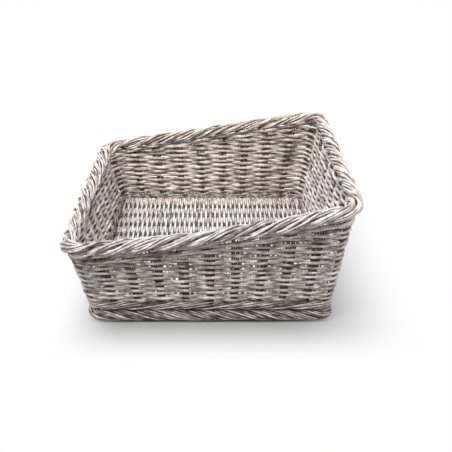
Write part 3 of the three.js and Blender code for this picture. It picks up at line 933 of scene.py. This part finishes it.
class BASKET_OT_foot_border(bpy.types.Operator):
    """Roll the bundles of the foot, which fall to the right and curl under"""

    bl_idname = "basket.foot_border"
    bl_label = "Foot border"

    def execute(self, context):
        sizes = context.scene.basket_sizes
        # The foot's rods take a darker tone than the walls': painted shade, as the foot lies in shadow
        # under the leaning wall.
        rods = RodLines("foot", 0.40, 0.17)
        radius = FOOT_THICKNESS / 2 - sizes.foot_rod / 2
        rod_angle = sizes.foot_rod * FOOT_ROD_SPACING / radius
        steps = 32
        for stake in range(STAKES_ROUND):
            for rod in range(FOOT_BUNDLE_RODS):
                side = (rod - (FOOT_BUNDLE_RODS - 1) / 2) * rod_angle
                crown = rods.rng.uniform(*FOOT_CROWN)
                seed = rods.rng.uniform(0, 1000)
                points = []
                for step in range(steps + 1):
                    share = step / steps
                    angle = mix(FOOT_START_ANGLE, FOOT_END_ANGLE, share)
                    u = stake - 1 + (FOOT_START_ANGLE - angle) / FOOT_ANGLE_PER_STAKE
                    angle += side + 0.05 * wander(step * 0.25, seed)
                    tuck = FOOT_TUCK * ease(1 - min(share, 1 - share) / FOOT_TUCK_SHARE)
                    spread = radius + crown - tuck - 0.0003 * abs(wander(step * 0.2, seed + 3))
                    point, normal = plan_point(FOOT_PLAN, u)
                    point = point + normal * (spread * math.cos(angle))
                    points.append(Vector((point.x, point.y, FOOT_CENTER + spread * math.sin(angle))))
                rods.add(points, sizes.foot_rod / 2 * 0.98)
        core_radius = radius - sizes.foot_rod / 2 - 0.0004
        ring_core(rods, FOOT_PLAN, lambda u: FOOT_CENTER, core_radius, FOOT_CORE_SHADE_TONE)
        rods.finish("foot_border", strand_material())
        return {"FINISHED"}


# Camera, fitted to the photograph
CAMERA_TARGET = Vector((0.0244, 0.0, 0.0567))
CAMERA_DISTANCE = 0.999
CAMERA_AZIMUTH = math.radians(-1.0)
CAMERA_ELEVATION = math.radians(29.3)
CAMERA_ROLL = math.radians(0.5)
CAMERA_LENS = 49.5
CAMERA_SENSOR = 36.0

# Softboxes: name, place, size and power in watts
SOFTBOXES = (
    ("softbox_top", (-0.28, -0.10, 1.60), 1.2, 27.0),
    ("softbox_left", (-1.15, -0.70, 1.30), 0.6, 16.0),
    ("softbox_right", (1.15, -0.50, 1.30), 0.6, 10.5),
)
WORLD_LEVEL = 0.32
FLOOR_SIZE = 12.0
# Painted shadow: inside these lines the floor shows its own grey under the lamps, and beyond them it fades
# to plain white, so the lines set how far the shadow reaches. Each gives the axis, where the fade starts
# and where it ends
SHADOW_EDGES = (
    ("X", -0.120, -0.220),
    ("X", 0.100, 0.300),
    ("Y", -0.172, -0.262),
    ("Y", 0.150, 0.260),
)


def seen_share(tree):
    """Socket that is 1 for rays by which the stage is seen, straight or in gloss and glass."""
    rays = add_node(tree, "ShaderNodeLightPath")
    seen = rays.outputs["Is Camera Ray"]
    for kind in ("Is Glossy Ray", "Is Transmission Ray"):
        either = add_node(tree, "ShaderNodeMath", {0: seen, 1: rays.outputs[kind]}, operation="MAXIMUM")
        seen = either.outputs[0]
    return seen


class BASKET_OT_stage(bpy.types.Operator):
    """Lay the floor, hang the softboxes and set up the camera"""

    bl_idname = "basket.stage"
    bl_label = "Stage"

    def execute(self, context):
        scene = context.scene
        colours = scene.basket_colours
        self.lay_floor(scene, colours)
        for name, place, size, power in SOFTBOXES:
            light = bpy.data.lights.new(name, "AREA")
            light.size = size
            light.energy = power
            lamp = bpy.data.objects.new(name, light)
            lamp.location = place
            lamp.rotation_euler = (CAMERA_TARGET - Vector(place)).to_track_quat("-Z", "Y").to_euler()
            scene.collection.objects.link(lamp)
        world = bpy.data.worlds.new("studio")
        world.use_nodes = True
        tree = world.node_tree
        level = add_node(tree, "ShaderNodeMapRange", {
            "Value": seen_share(tree), "To Min": WORLD_LEVEL, "To Max": 1.0,
        })
        tree.nodes["Background"].inputs["Color"].default_value = (1, 1, 1, 1)
        tree.links.new(level.outputs[0], tree.nodes["Background"].inputs["Strength"])
        scene.world = world
        self.set_camera(scene)
        scene.view_settings.view_transform = "Standard"
        return {"FINISHED"}

    def lay_floor(self, scene, colours):
        """Grey floor that keeps the shadow near the basket and fades to white further out, along lines that
        paint the shadow's reach.
        """
        mesh = bpy.data.meshes.new("floor")
        grid = bmesh.new()
        bmesh.ops.create_grid(grid, x_segments=8, y_segments=8, size=FLOOR_SIZE / 2)
        grid.to_mesh(mesh)
        grid.free()
        floor = bpy.data.objects.new("floor", mesh)
        scene.collection.objects.link(floor)
        material = bpy.data.materials.new("matt_white_paper")
        material.use_nodes = True
        tree = material.node_tree
        shader = tree.nodes["Principled BSDF"]
        shader.inputs["Base Color"].default_value = (*colours.floor, 1.0)
        shader.inputs["Roughness"].default_value = 0.9
        place = add_node(tree, "ShaderNodeTexCoord")
        axes = add_node(tree, "ShaderNodeSeparateXYZ", {"Vector": place.outputs["Object"]})
        kept = 1.0
        for axis, start, end in SHADOW_EDGES:
            inside = add_node(tree, "ShaderNodeMapRange", {
                "Value": axes.outputs[axis], "From Min": start, "From Max": end,
                "To Min": 1.0, "To Max": 0.0,
            }, interpolation_type="SMOOTHSTEP")
            product = add_node(tree, "ShaderNodeMath", {
                0: kept, 1: inside.outputs[0],
            }, operation="MULTIPLY")
            kept = product.outputs[0]
        faded = add_node(tree, "ShaderNodeMath", {0: 1.0, 1: kept}, operation="SUBTRACT")
        share = add_node(tree, "ShaderNodeMath", {
            0: faded.outputs[0], 1: seen_share(tree),
        }, operation="MULTIPLY")
        white = add_node(tree, "ShaderNodeEmission", {"Color": (1, 1, 1, 1), "Strength": 1.0})
        blend = add_node(tree, "ShaderNodeMixShader", {
            0: share.outputs[0], 1: shader.outputs[0], 2: white.outputs[0],
        })
        tree.links.new(blend.outputs[0], tree.nodes["Material Output"].inputs["Surface"])
        mesh.materials.append(material)

    def set_camera(self, scene):
        """Camera at the photograph's viewing angle."""
        back = Vector((
            math.sin(CAMERA_AZIMUTH) * math.cos(CAMERA_ELEVATION),
            -math.cos(CAMERA_AZIMUTH) * math.cos(CAMERA_ELEVATION),
            math.sin(CAMERA_ELEVATION),
        ))
        right = (-back).cross(Vector((0, 0, 1))).normalized()
        up = right.cross(-back)
        tilted = right * math.cos(CAMERA_ROLL) + up * math.sin(CAMERA_ROLL)
        upright = up * math.cos(CAMERA_ROLL) - right * math.sin(CAMERA_ROLL)
        lens = bpy.data.cameras.new("camera")
        lens.lens = CAMERA_LENS
        lens.sensor_width = CAMERA_SENSOR
        camera = bpy.data.objects.new("camera", lens)
        turn = Matrix((tilted, upright, back)).transposed().to_4x4()
        camera.matrix_world = Matrix.Translation(CAMERA_TARGET + back * CAMERA_DISTANCE) @ turn
        scene.collection.objects.link(camera)
        scene.camera = camera


class BASKET_PT_pieces(bpy.types.Panel):
    """Sidebar panel with the basket's pieces, sizes and colours"""

    bl_idname = "BASKET_PT_pieces"
    bl_label = "Display basket"
    bl_space_type = "VIEW_3D"
    bl_region_type = "UI"
    bl_category = "Basket"

    def draw(self, context):
        for operator in OPERATORS:
            self.layout.operator(operator.bl_idname)
        for group in (context.scene.basket_sizes, context.scene.basket_colours):
            for key in group.bl_rna.properties.keys():
                if key not in ("rna_type", "name"):
                    self.layout.prop(group, key)


OPERATORS = (
    BASKET_OT_stage,
    BASKET_OT_upright_stakes,
    BASKET_OT_cross_stakes,
    BASKET_OT_wall_weavers,
    BASKET_OT_packing_weaver,
    BASKET_OT_upper_wale,
    BASKET_OT_lower_wale,
    BASKET_OT_base_weavers,
    BASKET_OT_rim_border,
    BASKET_OT_foot_border,
)
CLASSES = (BasketSizes, BasketColours, *OPERATORS, BASKET_PT_pieces)


def register():
    for cls in CLASSES:
        bpy.utils.register_class(cls)
    bpy.types.Scene.basket_sizes = bpy.props.PointerProperty(type=BasketSizes)
    bpy.types.Scene.basket_colours = bpy.props.PointerProperty(type=BasketColours)


def unregister():
    del bpy.types.Scene.basket_colours
    del bpy.types.Scene.basket_sizes
    for cls in reversed(CLASSES):
        bpy.utils.unregister_class(cls)


def main():
    """Makes every piece in order."""
    register()
    for operator in OPERATORS:
        group, name = operator.bl_idname.split(".")
        getattr(getattr(bpy.ops, group), name)()


if __name__ == "__main__":
    main()
